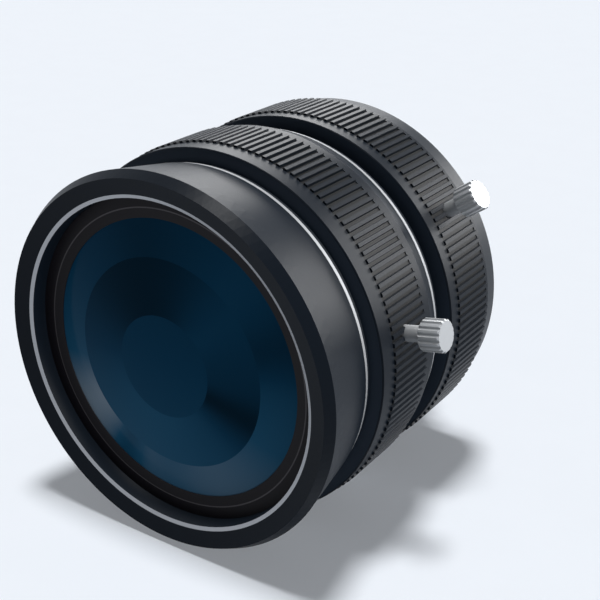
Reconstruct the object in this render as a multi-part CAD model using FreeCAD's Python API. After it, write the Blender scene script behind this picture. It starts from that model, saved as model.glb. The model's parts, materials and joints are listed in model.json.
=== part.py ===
# Fixed focal length lens for a short wave infrared camera.
# It has a focus ring, an aperture ring, a locking thumbscrew on each, and an iris inside.
# Every piece is made with the optical axis upright: height 0 is the face of the camera flange,
# and height grows towards the scene. Then each piece is laid down, so that the lens looks along -Y.
# All sizes are in millimetres and all angles in degrees.
import FreeCAD, Part
import math
import os

V = FreeCAD.Vector
ORIGIN = V(0, 0, 0)
AXIS = V(0, 0, 1)
OUTWARD = V(1, 0, 0)

# Clearances
running_fit = 0.05             # radial clearance of every turning or sliding fit
seat_gap = 0.05                # play round glass, spacers and threaded rings
guide_fit = 0.15               # between the guide sleeve and the tail of the front barrel
axial_gap = 0.3                # end play that keeps a turning ring off its neighbours
overcut = 1.0                  # how far a cutting tool runs past the wall it cuts

# Camera mount: a thread of 1 inch with 32 turns to the inch, and its flange
mount_thread_radius = 12.7
mount_thread_length = 3.9
thread_end_chamfer = 0.3
flange_radius = 15.5
flange_length = 2.6
mount_plate_thickness = 2.1
mount_plate_step = 0.8         # how far the plate's edge stands in from the aperture ring
mount_plate_chamfer = 1.6
mount_plate_rim = 0.2
spigot_length = 2.3
rear_tube_wall = 1.6

# Lengths of the visible rings, from the camera towards the scene
aperture_ring_length = 14.64
rings_gap = 1.36
focus_ring_length = 16.95
front_barrel_gap = 0.8
front_shell_length = 11.6

# Outer forms of the visible rings; a step is how far an end stands in from the widest part
ring_radius = 26.0
ring_wall = 2.4
ring_edge = 0.15               # small bevel on the rings' corners
aperture_rear_step = 0.5
aperture_rear_taper = 3.3
focus_rear_step = 1.15
focus_rear_taper = 4.3
focus_chamfer_length = 0.8
focus_chamfer_depth = 0.3
front_bevel_depth = 0.8
front_bevel_length = 1.45
shell_rear_step = 1.55
shell_chamfer_length = 0.95
shell_chamfer_depth = 0.3

# Ribbed grip of both rings
rib_count = 147
rib_height = 0.3               # above the ring's plain surface
rib_groove_depth = 0.12        # below it
rib_top_share = 0.44           # width of a rib's top as a share of the pitch
rib_foot_share = 0.6           # width of its foot
grip_floor_depth = 0.8         # from the plain surface down to where the ribbed band starts
focus_grip_length = 8.5
focus_grip_margin = 2.7        # plain shoulder in front of the ribs
aperture_grip_length = 8.7
aperture_grip_margin = 2.05

# Main barrel: the boss carries the aperture ring, the neck runs inside the lip of the focus ring
boss_wall = 3.15
boss_overlap = 0.5             # how far the boss reaches into the focus ring
neck_step = 1.0
neck_length = 4.5
sleeve_wall = 2.5
sleeve_setback = 1.95          # from the front of the focus ring back to the sleeve's end
iris_pocket_depth = 12.3       # from the mount plate to the web
web_thickness = 2.0
web_width = 4.6

# Focus mechanism
focus_turn_deg = 270.0
focus_travel = 3.0
lip_length = 2.3
focus_retainer_length = 1.8
focus_retainer_width = 0.8
retainer_notch_width = 1.2
retainer_notch_depth = 0.8
retainer_notch_angle = 90.0
tail_wall = 2.25
tail_rear_gap = 0.5
guide_pin_radius = 0.9
guide_pin_count = 3
guide_pin_angle = 90.0
guide_pin_height = 1.6         # how far a guide pin stands out of the sleeve
guide_pin_hold = 3.5           # how far the pins stay inside the tail when the barrel is fully out
guide_slot_spare = 0.2
stop_pin_radius = 0.4
stop_pin_angle = 150.0
stop_pin_depth = 2.0
stop_pin_reach = 1.0
stop_spare = 0.15              # play between the stop pin and the ends of its groove

# Front cell and its glass
front_rim_width = 2.7          # from the front face's outer edge in to the filter thread
filter_thread_depth = 3.05     # from the front face down to the retaining ring
filter_mouth_width = 0.65
filter_mouth_depth = 0.3
front_seat_width = 1.95        # the seat of the retaining ring, round the bore of the cell
front_ring_length = 2.3
front_ring_face_width = 1.8
front_lip_thickness = 0.08
front_lip_reach = 1.19         # over the rim of the front glass
front_dome_height = 2.54       # from the rim of the front glass to its top
front_dome_recess = 1.15       # from the front face down to the top of the glass
front_glass_edge = 3.66
front_glass_hollow = 1.2
front_glass_flat = 2.0         # flat border round the hollow
front_glass_spacing = 2.1      # between the rims of the two front elements
front_spacer_wall = 1.3
second_glass_edge = 2.75
second_glass_bulge = 2.24
second_glass_hollow = 2.0
cell_web_thickness = 1.2
cell_web_width = 1.8

# Middle glass group
middle_glass_play = 0.1        # round the glass in the bore of the sleeve
doublet_rear_edge = 2.1
doublet_rear_hollow = 1.0
doublet_joint_hollow = 1.6
doublet_front_edge = 2.9
doublet_front_bulge = 1.5
cement_gap = 0.02
middle_spacer_length = 4.3
middle_spacer_wall = 1.6
third_glass_edge = 4.0
third_glass_bulge = 1.6
third_glass_hollow = 0.8
middle_ring_length = 2.0
middle_ring_width = 2.0

# Iris
aperture_turn_deg = 50.0
blade_turn_deg = 25.0
blade_count = 8
blade_width = 4.6
blade_thickness = 0.12
blade_span_deg = 105.0
blade_lap = 1.2                # how far the open blades stay outside the iris opening
blade_margin = 1.0             # from a blade's edge to the middle of its pins
blade_margin_deg = 3.5
blade_gap = 0.6                # from a blade's ear to the wall of the chamber
blade_level_pitch = 0.2
blade_pivot_radius = 0.5
blade_pivot_length = 0.8
blade_drive_radius = 0.4
blade_drive_length = 1.2
drive_pin_lead_deg = 18.0      # from a blade's pivot to its drive pin, seen from the axis
iris_base_thickness = 1.2
cam_ring_thickness = 1.6
iris_ring_thickness = 1.1
iris_ring_step = 0.8
iris_end_play = 0.1
drive_screw_radius = 0.5
drive_screw_angle = 210.0
drive_screw_sink = 0.7         # below the plain surface of the aperture ring
drive_screw_bite = 1.95        # into the cam ring

# Rear glass group, in the mount barrel
rear_bore_wall = 2.15          # from the mount thread in to the bore for the glass
rear_seat_thickness = 1.3
rear_seat_width = 1.2
rear_glass_edge = 3.0
rear_glass_hollow = 1.0
rear_glass_bulge = 0.7
rear_spacer_length = 2.4
rear_spacer_wall = 1.1
inner_glass_edge = 2.9
inner_glass_hollow = 0.6
inner_glass_bulge = 1.2
rear_ring_length = 1.8
rear_ring_width = 1.3

# Screws
lock_neck_radius = 1.08
lock_neck_length = 2.6
lock_head_radius = 2.15
lock_head_length = 3.05
lock_head_edge = 0.2
lock_flute_count = 16
lock_flute_radius = 0.27
lock_tip_gap = 0.15            # from the tip of a loosened thumbscrew to what it presses on
focus_lock_angle = 10.6
aperture_lock_angle = 34.8
focus_screw_forward = 0.7      # from the middle of the ribbed band
mount_screw_count = 4
mount_screw_angle = 45.0
mount_screw_radius = 0.8
mount_screw_length = 4.5
mount_head_radius = 1.15
mount_head_height = 0.8
mount_head_pocket = 1.0
mount_hole_spare = 0.2         # depth of the tapped hole past the end of its screw
screw_slot_width = 0.3
screw_slot_depth = 0.35


def sphere_drop(bulge, rim, radius):
    """How far a sphere that bulges by the first value at its rim has dropped from its top at a radius."""
    ball = (rim * rim + bulge * bulge) / (2 * bulge)
    return ball - math.copysign(math.sqrt(ball * ball - radius * radius), ball)


def rim_rise(bulge, rim, radius):
    """How far a sphere stands above its own rim at a radius."""
    return bulge - sphere_drop(bulge, rim, radius)


# Radii of the rings and the barrels, worked inwards from the widest part
aperture_rear_radius = ring_radius - aperture_rear_step
focus_rear_radius = ring_radius - focus_rear_step
shell_rear_radius = ring_radius - shell_rear_step
front_face_radius = ring_radius - front_bevel_depth
mount_plate_radius = aperture_rear_radius - mount_plate_step
ring_bore_radius = ring_radius - ring_wall
boss_radius = ring_bore_radius - running_fit
chamber_radius = boss_radius - boss_wall
neck_radius = boss_radius - neck_step
lip_radius = neck_radius + running_fit
tail_radius = boss_radius - running_fit
tail_bore_radius = tail_radius - tail_wall
sleeve_radius = tail_bore_radius - guide_fit
sleeve_bore_radius = sleeve_radius - sleeve_wall
web_opening_radius = sleeve_bore_radius - web_width
stop_pin_circle = (neck_radius + boss_radius) / 2
mount_screw_circle = (chamber_radius + boss_radius) / 2

# Heights along the outside, worked up from the flange
plate_front = flange_length + mount_plate_thickness
aperture_rear = plate_front + axial_gap
aperture_front = aperture_rear + aperture_ring_length
focus_rear = aperture_front + rings_gap
focus_front = focus_rear + focus_ring_length
shell_rear = focus_front + front_barrel_gap
front_face = shell_rear + front_shell_length
front_edge = front_face - front_bevel_length
aperture_grip_front = aperture_front - aperture_grip_margin
focus_grip_front = focus_front - focus_grip_margin
aperture_screw_height = aperture_grip_front - aperture_grip_length / 2
focus_screw_height = focus_grip_front - focus_grip_length / 2 + focus_screw_forward

# Heights of the main barrel and of what runs on it
web_rear = plate_front + iris_pocket_depth
web_front = web_rear + web_thickness
boss_front = focus_rear + boss_overlap
neck_front = boss_front + neck_length
sleeve_front = focus_front - sleeve_setback
lip_rear = boss_front + axial_gap / 2
lip_front = lip_rear + lip_length
retainer_rear = lip_front + axial_gap / 2
retainer_front = retainer_rear + focus_retainer_length
tail_rear = retainer_front + tail_rear_gap
guide_pin_place = tail_rear + focus_travel + guide_pin_hold

# Front cell: radii worked inwards, heights worked down from the front face
filter_thread_radius = front_face_radius - front_rim_width
cell_radius = filter_thread_radius - front_seat_width
cell_web_radius = cell_radius - cell_web_width
front_glass_radius = cell_radius - seat_gap
front_hollow_radius = front_glass_radius - front_glass_flat
front_lip_radius = front_glass_radius - front_lip_reach
front_ring_face = front_face - filter_thread_depth
front_ring_seat = front_ring_face - front_ring_length
dome_top = front_face - front_dome_recess
front_rim = dome_top - front_dome_height
front_back = front_rim - front_glass_edge
second_rim = front_back - front_glass_spacing
second_back = second_rim - second_glass_edge
cell_web_front = second_back - seat_gap
cell_web_rear = cell_web_front - cell_web_thickness

# Middle group, stacked on the web
middle_glass_radius = sleeve_bore_radius - middle_glass_play
middle_spacer_bore = middle_glass_radius - middle_spacer_wall
middle_ring_bore = middle_glass_radius - middle_ring_width
doublet_low = web_front + seat_gap
doublet_joint = doublet_low + doublet_rear_edge
doublet_high = doublet_joint + cement_gap + doublet_front_edge
doublet_touch = doublet_high + rim_rise(doublet_front_bulge, middle_glass_radius, middle_spacer_bore)
middle_spacer_low = doublet_touch + seat_gap
middle_spacer_high = middle_spacer_low + middle_spacer_length
third_low = middle_spacer_high + seat_gap
third_high = third_low + third_glass_edge
middle_ring_low = third_high + rim_rise(third_glass_bulge, middle_glass_radius, middle_ring_bore) + seat_gap
middle_ring_high = middle_ring_low + middle_ring_length

# Iris: radii worked inwards from the chamber, heights worked down from the web
blade_ear_radius = chamber_radius - blade_gap
blade_pin_circle = blade_ear_radius - blade_margin
blade_outer_radius = blade_pin_circle - blade_margin
blade_inner_radius = blade_outer_radius - blade_width
iris_opening_radius = blade_inner_radius - blade_lap
base_rear = web_rear - iris_base_thickness
cam_front = base_rear - blade_level_pitch * (blade_count + 0.5)
cam_rear = cam_front - cam_ring_thickness
cam_height = (cam_front + cam_rear) / 2
iris_ring_front = cam_rear - iris_end_play
iris_ring_rear = iris_ring_front - iris_ring_thickness

# Rear group, stacked on the seat at the end of the mount thread
rear_bore = mount_thread_radius - rear_bore_wall
rear_seat_radius = rear_bore - rear_seat_width
rear_glass_radius = rear_bore - seat_gap
rear_spacer_bore = rear_glass_radius - rear_spacer_wall
rear_ring_bore = rear_glass_radius - rear_ring_width
rear_seat = rear_seat_thickness - mount_thread_length
rear_low = rear_seat + seat_gap
rear_high = rear_low + rear_glass_edge
rear_spacer_low = rear_high + rim_rise(rear_glass_bulge, rear_glass_radius, rear_spacer_bore) + seat_gap
rear_spacer_high = rear_spacer_low + rear_spacer_length
inner_low = rear_spacer_high + seat_gap
inner_high = inner_low + inner_glass_edge
rear_ring_low = inner_high + rim_rise(inner_glass_bulge, rear_glass_radius, rear_ring_bore) + seat_gap
rear_ring_high = rear_ring_low + rear_ring_length
spigot_front = plate_front + spigot_length
rear_tube_front = max(rear_ring_high, spigot_front) + 2 * seat_gap


def flat_face(points):
    """Face in the half plane through the axis, from (radius, height) points.
    A third value of a point is a middle point, which bends the run that ends there."""
    edges = []
    for here, after in zip(points, points[1:] + points[:1]):
        start = V(here[0], 0, here[1])
        end = V(after[0], 0, after[1])
        if len(after) > 2:
            middle = V(after[2][0], 0, after[2][1])
            edges.append(Part.Arc(start, middle, end).toShape())
        else:
            edges.append(Part.LineSegment(start, end).toShape())
    return Part.Face(Part.Wire(edges))


def turned(points, angle=360):
    """Solid swept by an outline that turns about the optical axis."""
    return flat_face(points).revolve(ORIGIN, AXIS, angle)


def turned_about(solid, angle):
    """Copy of a solid turned about the optical axis."""
    copy = solid.copy()
    copy.rotate(ORIGIN, AXIS, angle)
    return copy


def around(solid, count, first_angle=0.0):
    """Copies of a solid spread evenly round the optical axis."""
    return [turned_about(solid, first_angle + 360.0 * i / count) for i in range(count)]


def cut_around(body, tool, count, first_angle=0.0):
    """Body with a tool cut out of it at even places round the axis."""
    for copy in around(tool, count, first_angle):
        body = body.cut(copy)
    return body


def box_outline(inner, outer, low, high):
    """Rectangle between two radii and two heights."""
    return [(inner, low), (outer, low), (outer, high), (inner, high)]


def plain_ring(inner, outer, low, high):
    """Ring with square edges."""
    return turned(box_outline(inner, outer, low, high))


def upright_rod(radius, circle, low, high):
    """Round rod along the optical axis, on a circle about it."""
    return Part.makeCylinder(radius, high - low, V(circle, 0, low))


def radial_rod(radius, inner, outer, height, angle):
    """Round rod along a radius of the lens."""
    rod = Part.makeCylinder(radius, outer - inner, V(inner, 0, height), OUTWARD)
    return turned_about(rod, angle)


def polar(radius, angle, height=0.0):
    """Point at a radius and an angle about the optical axis."""
    turn = math.radians(angle)
    return V(radius * math.cos(turn), radius * math.sin(turn), height)


def glass(rim, low, high, low_bulge, high_bulge, low_clear=None):
    """Lens element whose rim lies between two heights.
    A bulge under zero is a hollow, and the rear one ends at the radius low_clear if that is given."""
    low_rim = low_clear or rim
    high_top = high + high_bulge
    low_top = low - low_bulge
    high_middle = (rim / 2, high_top - sphere_drop(high_bulge, rim, rim / 2))
    low_middle = (low_rim / 2, low_top + sphere_drop(low_bulge, low_rim, low_rim / 2))
    outline = [(0, high_top), (rim, high, high_middle), (rim, low)]
    if low_clear:
        outline.append((low_rim, low))
    outline.append((0, low_top, low_middle))
    return turned(outline)


def ribbed_band(inner, low, high):
    """Band of straight ribs: a toothed outline with slanted flanks, carried along the axis."""
    foot = ring_radius - rib_groove_depth
    top = ring_radius + rib_height
    half_pitch = 180.0 / rib_count
    tooth = (
        (foot, -rib_foot_share * half_pitch),
        (top, -rib_top_share * half_pitch),
        (top, rib_top_share * half_pitch),
        (foot, rib_foot_share * half_pitch),
    )
    corners = [polar(r, a + 2 * half_pitch * i, low) for i in range(rib_count) for r, a in tooth]
    outer = Part.makePolygon(corners + corners[:1])
    hole = Part.Wire(Part.makeCircle(inner, V(0, 0, low)))
    face = Part.Face([outer, hole], "Part::FaceMakerBullseye")
    return face.extrude(V(0, 0, high - low))


def grip_ring(outline, grip_length, grip_front):
    """Turned ring with a groove that the ribbed band fills."""
    floor = ring_radius - grip_floor_depth
    grip_rear = grip_front - grip_length
    groove = plain_ring(floor, ring_radius + overcut, grip_rear, grip_front)
    return turned(outline).cut(groove).fuse(ribbed_band(floor, grip_rear, grip_front))


def screw_hole(ring, radius, bore, height, angle):
    """Ring with a radial hole through its wall."""
    return ring.cut(radial_rod(radius + running_fit, bore - overcut, ring_radius + overcut, height, angle))


def make_aperture_ring():
    """Ring that turns on the boss and carries the drive screw and a thumbscrew."""
    ring = grip_ring(
        [
            (ring_bore_radius, aperture_rear),
            (aperture_rear_radius - ring_edge, aperture_rear),
            (aperture_rear_radius, aperture_rear + ring_edge),
            (ring_radius, aperture_rear + aperture_rear_taper),
            (ring_radius, aperture_front - ring_edge),
            (ring_radius - ring_edge, aperture_front),
            (ring_bore_radius, aperture_front),
        ],
        aperture_grip_length,
        aperture_grip_front,
    )
    ring = screw_hole(ring, lock_neck_radius, ring_bore_radius, aperture_screw_height, aperture_lock_angle)
    return screw_hole(ring, drive_screw_radius, ring_bore_radius, cam_height, drive_screw_angle)


def make_focus_ring():
    """Ring with an inner lip behind, a long front bore on the helicoid, and a groove for the stop pin."""
    front_bore = tail_radius + running_fit
    ring = grip_ring(
        [
            (ring_bore_radius, focus_rear),
            (focus_rear_radius - focus_chamfer_depth, focus_rear),
            (focus_rear_radius, focus_rear + focus_chamfer_length),
            (ring_radius, focus_rear + focus_rear_taper),
            (ring_radius, focus_front - ring_edge),
            (ring_radius - ring_edge, focus_front),
            (front_bore, focus_front),
            (front_bore, lip_front),
            (lip_radius, lip_front),
            (lip_radius, lip_rear),
            (ring_bore_radius, lip_rear),
        ],
        focus_grip_length,
        focus_grip_front,
    )
    ring = screw_hole(ring, lock_neck_radius, front_bore, focus_screw_height, focus_lock_angle)
    groove_wall = stop_pin_circle + stop_pin_radius + running_fit
    groove_top = boss_front + stop_pin_reach + axial_gap
    spare_deg = math.degrees((stop_pin_radius + stop_spare) / stop_pin_circle)
    groove_outline = box_outline(lip_radius - overcut, groove_wall, lip_rear - overcut, groove_top)
    groove = turned(groove_outline, focus_turn_deg + 2 * spare_deg)
    return ring.cut(turned_about(groove, stop_pin_angle - focus_turn_deg - spare_deg))


def make_main_barrel():
    """Fixed body: boss under the aperture ring, neck under the focus ring, guide sleeve and web."""
    barrel = turned([
        (chamber_radius, plate_front),
        (boss_radius, plate_front),
        (boss_radius, boss_front),
        (neck_radius, boss_front),
        (neck_radius, neck_front),
        (sleeve_radius, neck_front),
        (sleeve_radius, sleeve_front),
        (sleeve_bore_radius, sleeve_front),
        (sleeve_bore_radius, web_front),
        (web_opening_radius, web_front),
        (web_opening_radius, web_rear),
        (chamber_radius, web_rear),
    ])
    half_width = drive_screw_radius + running_fit
    spare_deg = math.degrees((drive_screw_radius + 2 * running_fit) / chamber_radius)
    slot_outline = box_outline(
        chamber_radius - overcut, boss_radius + overcut, cam_height - half_width, cam_height + half_width
    )
    slot = turned(slot_outline, aperture_turn_deg + 2 * spare_deg)
    barrel = barrel.cut(turned_about(slot, drive_screw_angle - spare_deg))
    pin_hole = radial_rod(
        guide_pin_radius, sleeve_bore_radius - overcut, sleeve_radius + overcut, guide_pin_place, 0
    )
    barrel = cut_around(barrel, pin_hole, guide_pin_count, guide_pin_angle)
    hole_front = flange_length + mount_head_pocket + mount_screw_length + mount_hole_spare
    tapped_hole = upright_rod(
        mount_screw_radius + running_fit, mount_screw_circle, plate_front - overcut, hole_front
    )
    barrel = cut_around(barrel, tapped_hole, mount_screw_count, mount_screw_angle)
    stop_hole = upright_rod(stop_pin_radius, stop_pin_circle, boss_front - stop_pin_depth, boss_front)
    return barrel.cut(turned_about(stop_hole, stop_pin_angle))


def make_stop_pin():
    """Pin in the barrel's shoulder that ends the focus ring's turn."""
    pin = upright_rod(
        stop_pin_radius, stop_pin_circle, boss_front - stop_pin_depth, boss_front + stop_pin_reach
    )
    return turned_about(pin, stop_pin_angle)


def make_guide_pins():
    """Pins through the sleeve that keep the front barrel from turning."""
    inner = sleeve_bore_radius + seat_gap
    pin = radial_rod(guide_pin_radius, inner, sleeve_radius + guide_pin_height, guide_pin_place, 0)
    return Part.makeCompound(around(pin, guide_pin_count, guide_pin_angle))


def make_focus_retainer():
    """Ring screwed on the neck, which traps the lip of the focus ring; two notches take a spanner."""
    retainer_radius = neck_radius + focus_retainer_width
    ring = plain_ring(neck_radius, retainer_radius, retainer_rear, retainer_front)
    notch = Part.makeBox(
        focus_retainer_width + 2 * overcut,
        retainer_notch_width,
        retainer_notch_depth + overcut,
        V(neck_radius - overcut, -retainer_notch_width / 2, retainer_front - retainer_notch_depth),
    )
    return cut_around(ring, notch, 2, retainer_notch_angle)


def make_front_barrel():
    """Flared front shell and the tail tube of the helicoid, turned from one piece."""
    barrel = turned([
        (tail_bore_radius, tail_rear),
        (tail_radius, tail_rear),
        (tail_radius, shell_rear),
        (shell_rear_radius - shell_chamfer_depth, shell_rear),
        (shell_rear_radius, shell_rear + shell_chamfer_length),
        (ring_radius, front_edge),
        (front_face_radius, front_face),
        (filter_thread_radius + filter_mouth_width, front_face),
        (filter_thread_radius, front_face - filter_mouth_depth),
        (filter_thread_radius, front_ring_seat),
        (cell_radius, front_ring_seat),
        (cell_radius, cell_web_front),
        (cell_web_radius, cell_web_front),
        (cell_web_radius, cell_web_rear),
        (tail_bore_radius, cell_web_rear),
    ])
    half_width = guide_pin_radius + running_fit
    slot_floor = sleeve_radius + guide_pin_height + guide_slot_spare
    slot_end = guide_pin_place + guide_pin_radius + guide_slot_spare
    slot = Part.makeBox(
        slot_floor - tail_bore_radius + overcut,
        2 * half_width,
        slot_end - tail_rear + overcut,
        V(tail_bore_radius - overcut, -half_width, tail_rear - overcut),
    )
    return cut_around(barrel, slot, guide_pin_count, guide_pin_angle)


def make_front_retaining_ring():
    """Ring screwed down on the front glass, with a sloping lip over its rim."""
    outer = filter_thread_radius - seat_gap
    lip_low = dome_top - sphere_drop(front_dome_height, front_glass_radius, front_lip_radius) + seat_gap
    return turned([
        (cell_radius, front_ring_seat),
        (outer, front_ring_seat),
        (outer, front_ring_face),
        (filter_thread_radius - front_ring_face_width, front_ring_face),
        (front_lip_radius, lip_low + front_lip_thickness),
        (front_lip_radius, lip_low),
        (cell_radius, front_rim + seat_gap),
    ])


def make_front_glass():
    """Large domed front element with a hollow back."""
    return glass(
        front_glass_radius,
        front_back,
        front_rim,
        -front_glass_hollow,
        front_dome_height,
        front_hollow_radius,
    )


def make_front_spacer():
    """Ring between the rims of the two front elements."""
    inner = front_glass_radius - front_spacer_wall
    low = second_rim + rim_rise(second_glass_bulge, front_glass_radius, inner) + seat_gap
    return plain_ring(inner, front_glass_radius, low, front_back - seat_gap)


def make_second_glass():
    """Second element of the front group."""
    return glass(
        front_glass_radius,
        second_back,
        second_rim,
        -second_glass_hollow,
        second_glass_bulge,
        front_glass_radius - cell_web_width,
    )


def make_doublet_rear():
    """Rear half of the cemented doublet, hollow on both sides."""
    return glass(
        middle_glass_radius,
        doublet_low,
        doublet_joint,
        -doublet_rear_hollow,
        -doublet_joint_hollow,
        web_opening_radius,
    )


def make_doublet_front():
    """Front half of the cemented doublet, rounded on both sides."""
    low = doublet_joint + cement_gap
    return glass(middle_glass_radius, low, doublet_high, doublet_joint_hollow, doublet_front_bulge)


def make_middle_spacer():
    """Long ring between the doublet and the third element."""
    return plain_ring(middle_spacer_bore, middle_glass_radius, middle_spacer_low, middle_spacer_high)


def make_third_glass():
    """Element at the front of the main barrel."""
    return glass(
        middle_glass_radius,
        third_low,
        third_high,
        -third_glass_hollow,
        third_glass_bulge,
        middle_spacer_bore,
    )


def make_middle_retaining_ring():
    """Ring screwed into the sleeve in front of the middle group."""
    return plain_ring(middle_ring_bore, middle_glass_radius, middle_ring_low, middle_ring_high)


def spun(point, turn):
    """Point of the plane across the axis, turned about the axis by an angle in radians."""
    return V(
        point.x * math.cos(turn) - point.y * math.sin(turn),
        point.x * math.sin(turn) + point.y * math.cos(turn),
        0,
    )


def drive_place(share):
    """Place of the first blade's drive pin when the blade has made a share of its turn."""
    pivot = polar(blade_pin_circle, 0)
    arm = polar(blade_pin_circle, drive_pin_lead_deg) - pivot
    return pivot + spun(arm, math.radians(blade_turn_deg * share))


def cam_place(share):
    """The same place seen from the cam ring, which turns in step with the blade."""
    return spun(drive_place(share), -math.radians(aperture_turn_deg * share))


def cam_direction(share):
    """Direction of the drive pin's path on the cam ring."""
    step = 0.01
    along = cam_place(share + step) - cam_place(share - step)
    return along.normalize()


def cam_slot(low, high):
    """Curved slot that turns a blade evenly: its middle line is the drive pin's path on the cam ring."""
    half_width = blade_drive_radius + running_fit
    stations = 9
    shares = [i / (stations - 1) for i in range(stations)]
    edges = []
    ends = []
    for side in (half_width, -half_width):
        points = []
        for share in shares:
            along = cam_direction(share)
            points.append(cam_place(share) + V(-along.y, along.x, 0) * side)
        curve = Part.BSplineCurve()
        curve.interpolate(points)
        edges.append(curve.toShape())
        ends.append(points)
    first_tip = cam_place(0) - cam_direction(0) * half_width
    last_tip = cam_place(1) + cam_direction(1) * half_width
    edges.append(Part.Arc(ends[0][0], first_tip, ends[1][0]).toShape())
    edges.append(Part.Arc(ends[0][-1], last_tip, ends[1][-1]).toShape())
    slot = Part.Face(Part.Wire(Part.__sortEdges__(edges))).extrude(V(0, 0, high - low))
    slot.translate(V(0, 0, low))
    return slot


def make_cam_ring():
    """Ring with one curved slot for each blade, turned by the drive screw."""
    ring = plain_ring(iris_opening_radius, chamber_radius - running_fit, cam_rear, cam_front)
    ring = cut_around(ring, cam_slot(cam_rear - overcut, cam_front + overcut), blade_count)
    floor = chamber_radius - drive_screw_bite - running_fit
    mouth = chamber_radius + overcut
    hole = radial_rod(drive_screw_radius + running_fit, floor, mouth, cam_height, drive_screw_angle)
    return ring.cut(hole)


def make_iris_base():
    """Fixed plate in front of the blades, with a hole for each pivot."""
    plate = plain_ring(iris_opening_radius, chamber_radius - seat_gap, base_rear, web_rear)
    hole = upright_rod(
        blade_pivot_radius + running_fit,
        blade_pin_circle,
        base_rear - overcut,
        base_rear + blade_pivot_length + 2 * running_fit,
    )
    return cut_around(plate, hole, blade_count)


def make_iris_ring():
    """Ring screwed into the chamber behind the cam ring."""
    inner = iris_opening_radius + iris_ring_step
    return plain_ring(inner, chamber_radius - seat_gap, iris_ring_rear, iris_ring_front)


def arc_about_axis(radius, start, end, height):
    """Arc between two angles at one radius."""
    middle = polar(radius, (start + end) / 2, height)
    return Part.Arc(polar(radius, start, height), middle, polar(radius, end, height)).toShape()


def line_at_angle(angle, start_radius, end_radius, height):
    """Straight run along a radius."""
    return Part.LineSegment(polar(start_radius, angle, height), polar(end_radius, angle, height)).toShape()


def make_blade(number):
    """Thin curved blade with its pivot pin in front and its drive pin behind.
    Its ear reaches out to both pins, and each blade has a level of its own."""
    top = base_rear - blade_level_pitch * (number + 0.5)
    low = top - blade_thickness
    heel = -blade_margin_deg
    ear_end = drive_pin_lead_deg + blade_margin_deg
    tip = blade_span_deg
    middle_radius = (blade_inner_radius + blade_outer_radius) / 2
    tip_bulge_deg = math.degrees(blade_width / 2 / middle_radius)
    tip_arc = Part.Arc(
        polar(blade_inner_radius, tip, low),
        polar(middle_radius, tip + tip_bulge_deg, low),
        polar(blade_outer_radius, tip, low),
    )
    edges = [
        arc_about_axis(blade_inner_radius, heel, tip, low),
        tip_arc.toShape(),
        arc_about_axis(blade_outer_radius, tip, ear_end, low),
        line_at_angle(ear_end, blade_outer_radius, blade_ear_radius, low),
        arc_about_axis(blade_ear_radius, ear_end, heel, low),
        line_at_angle(heel, blade_ear_radius, blade_inner_radius, low),
    ]
    leaf = Part.Face(Part.Wire(edges)).extrude(V(0, 0, blade_thickness))
    pivot = upright_rod(blade_pivot_radius, blade_pin_circle, low, base_rear + blade_pivot_length)
    drive = upright_rod(blade_drive_radius, blade_pin_circle, cam_front - blade_drive_length, top)
    blade = leaf.fuse([pivot, turned_about(drive, drive_pin_lead_deg)])
    return turned_about(blade, 360.0 * number / blade_count)


def make_drive_screw():
    """Headless screw that joins the aperture ring to the cam ring through the barrel's slot."""
    outer = ring_radius - drive_screw_sink
    screw = radial_rod(drive_screw_radius, chamber_radius - drive_screw_bite, outer, cam_height, 0)
    slot = Part.makeBox(
        screw_slot_depth + overcut,
        4 * drive_screw_radius,
        screw_slot_width,
        V(outer - screw_slot_depth, -2 * drive_screw_radius, cam_height - screw_slot_width / 2),
    )
    return turned_about(screw.cut(slot), drive_screw_angle)


def make_lock_screw(inner, height, angle):
    """Thumbscrew along a radius, with a plain neck and a fluted head."""
    neck_end = ring_radius + lock_neck_length
    head_end = neck_end + lock_head_length
    head_outline = [
        V(neck_end, 0, 0),
        V(neck_end, 0, lock_head_radius - lock_head_edge),
        V(neck_end + lock_head_edge, 0, lock_head_radius),
        V(head_end - lock_head_edge, 0, lock_head_radius),
        V(head_end, 0, lock_head_radius - lock_head_edge),
        V(head_end, 0, 0),
    ]
    head = Part.Face(Part.makePolygon(head_outline + head_outline[:1])).revolve(ORIGIN, OUTWARD, 360)
    flute_start = V(neck_end - overcut, lock_head_radius, 0)
    flute = Part.makeCylinder(lock_flute_radius, lock_head_length + 2 * overcut, flute_start, OUTWARD)
    for i in range(lock_flute_count):
        tool = flute.copy()
        tool.rotate(ORIGIN, OUTWARD, 360.0 * i / lock_flute_count)
        head = head.cut(tool)
    neck = Part.makeCylinder(lock_neck_radius, neck_end - inner, V(inner, 0, 0), OUTWARD)
    screw = neck.fuse(head)
    screw.translate(V(0, 0, height))
    return turned_about(screw, angle)


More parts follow.
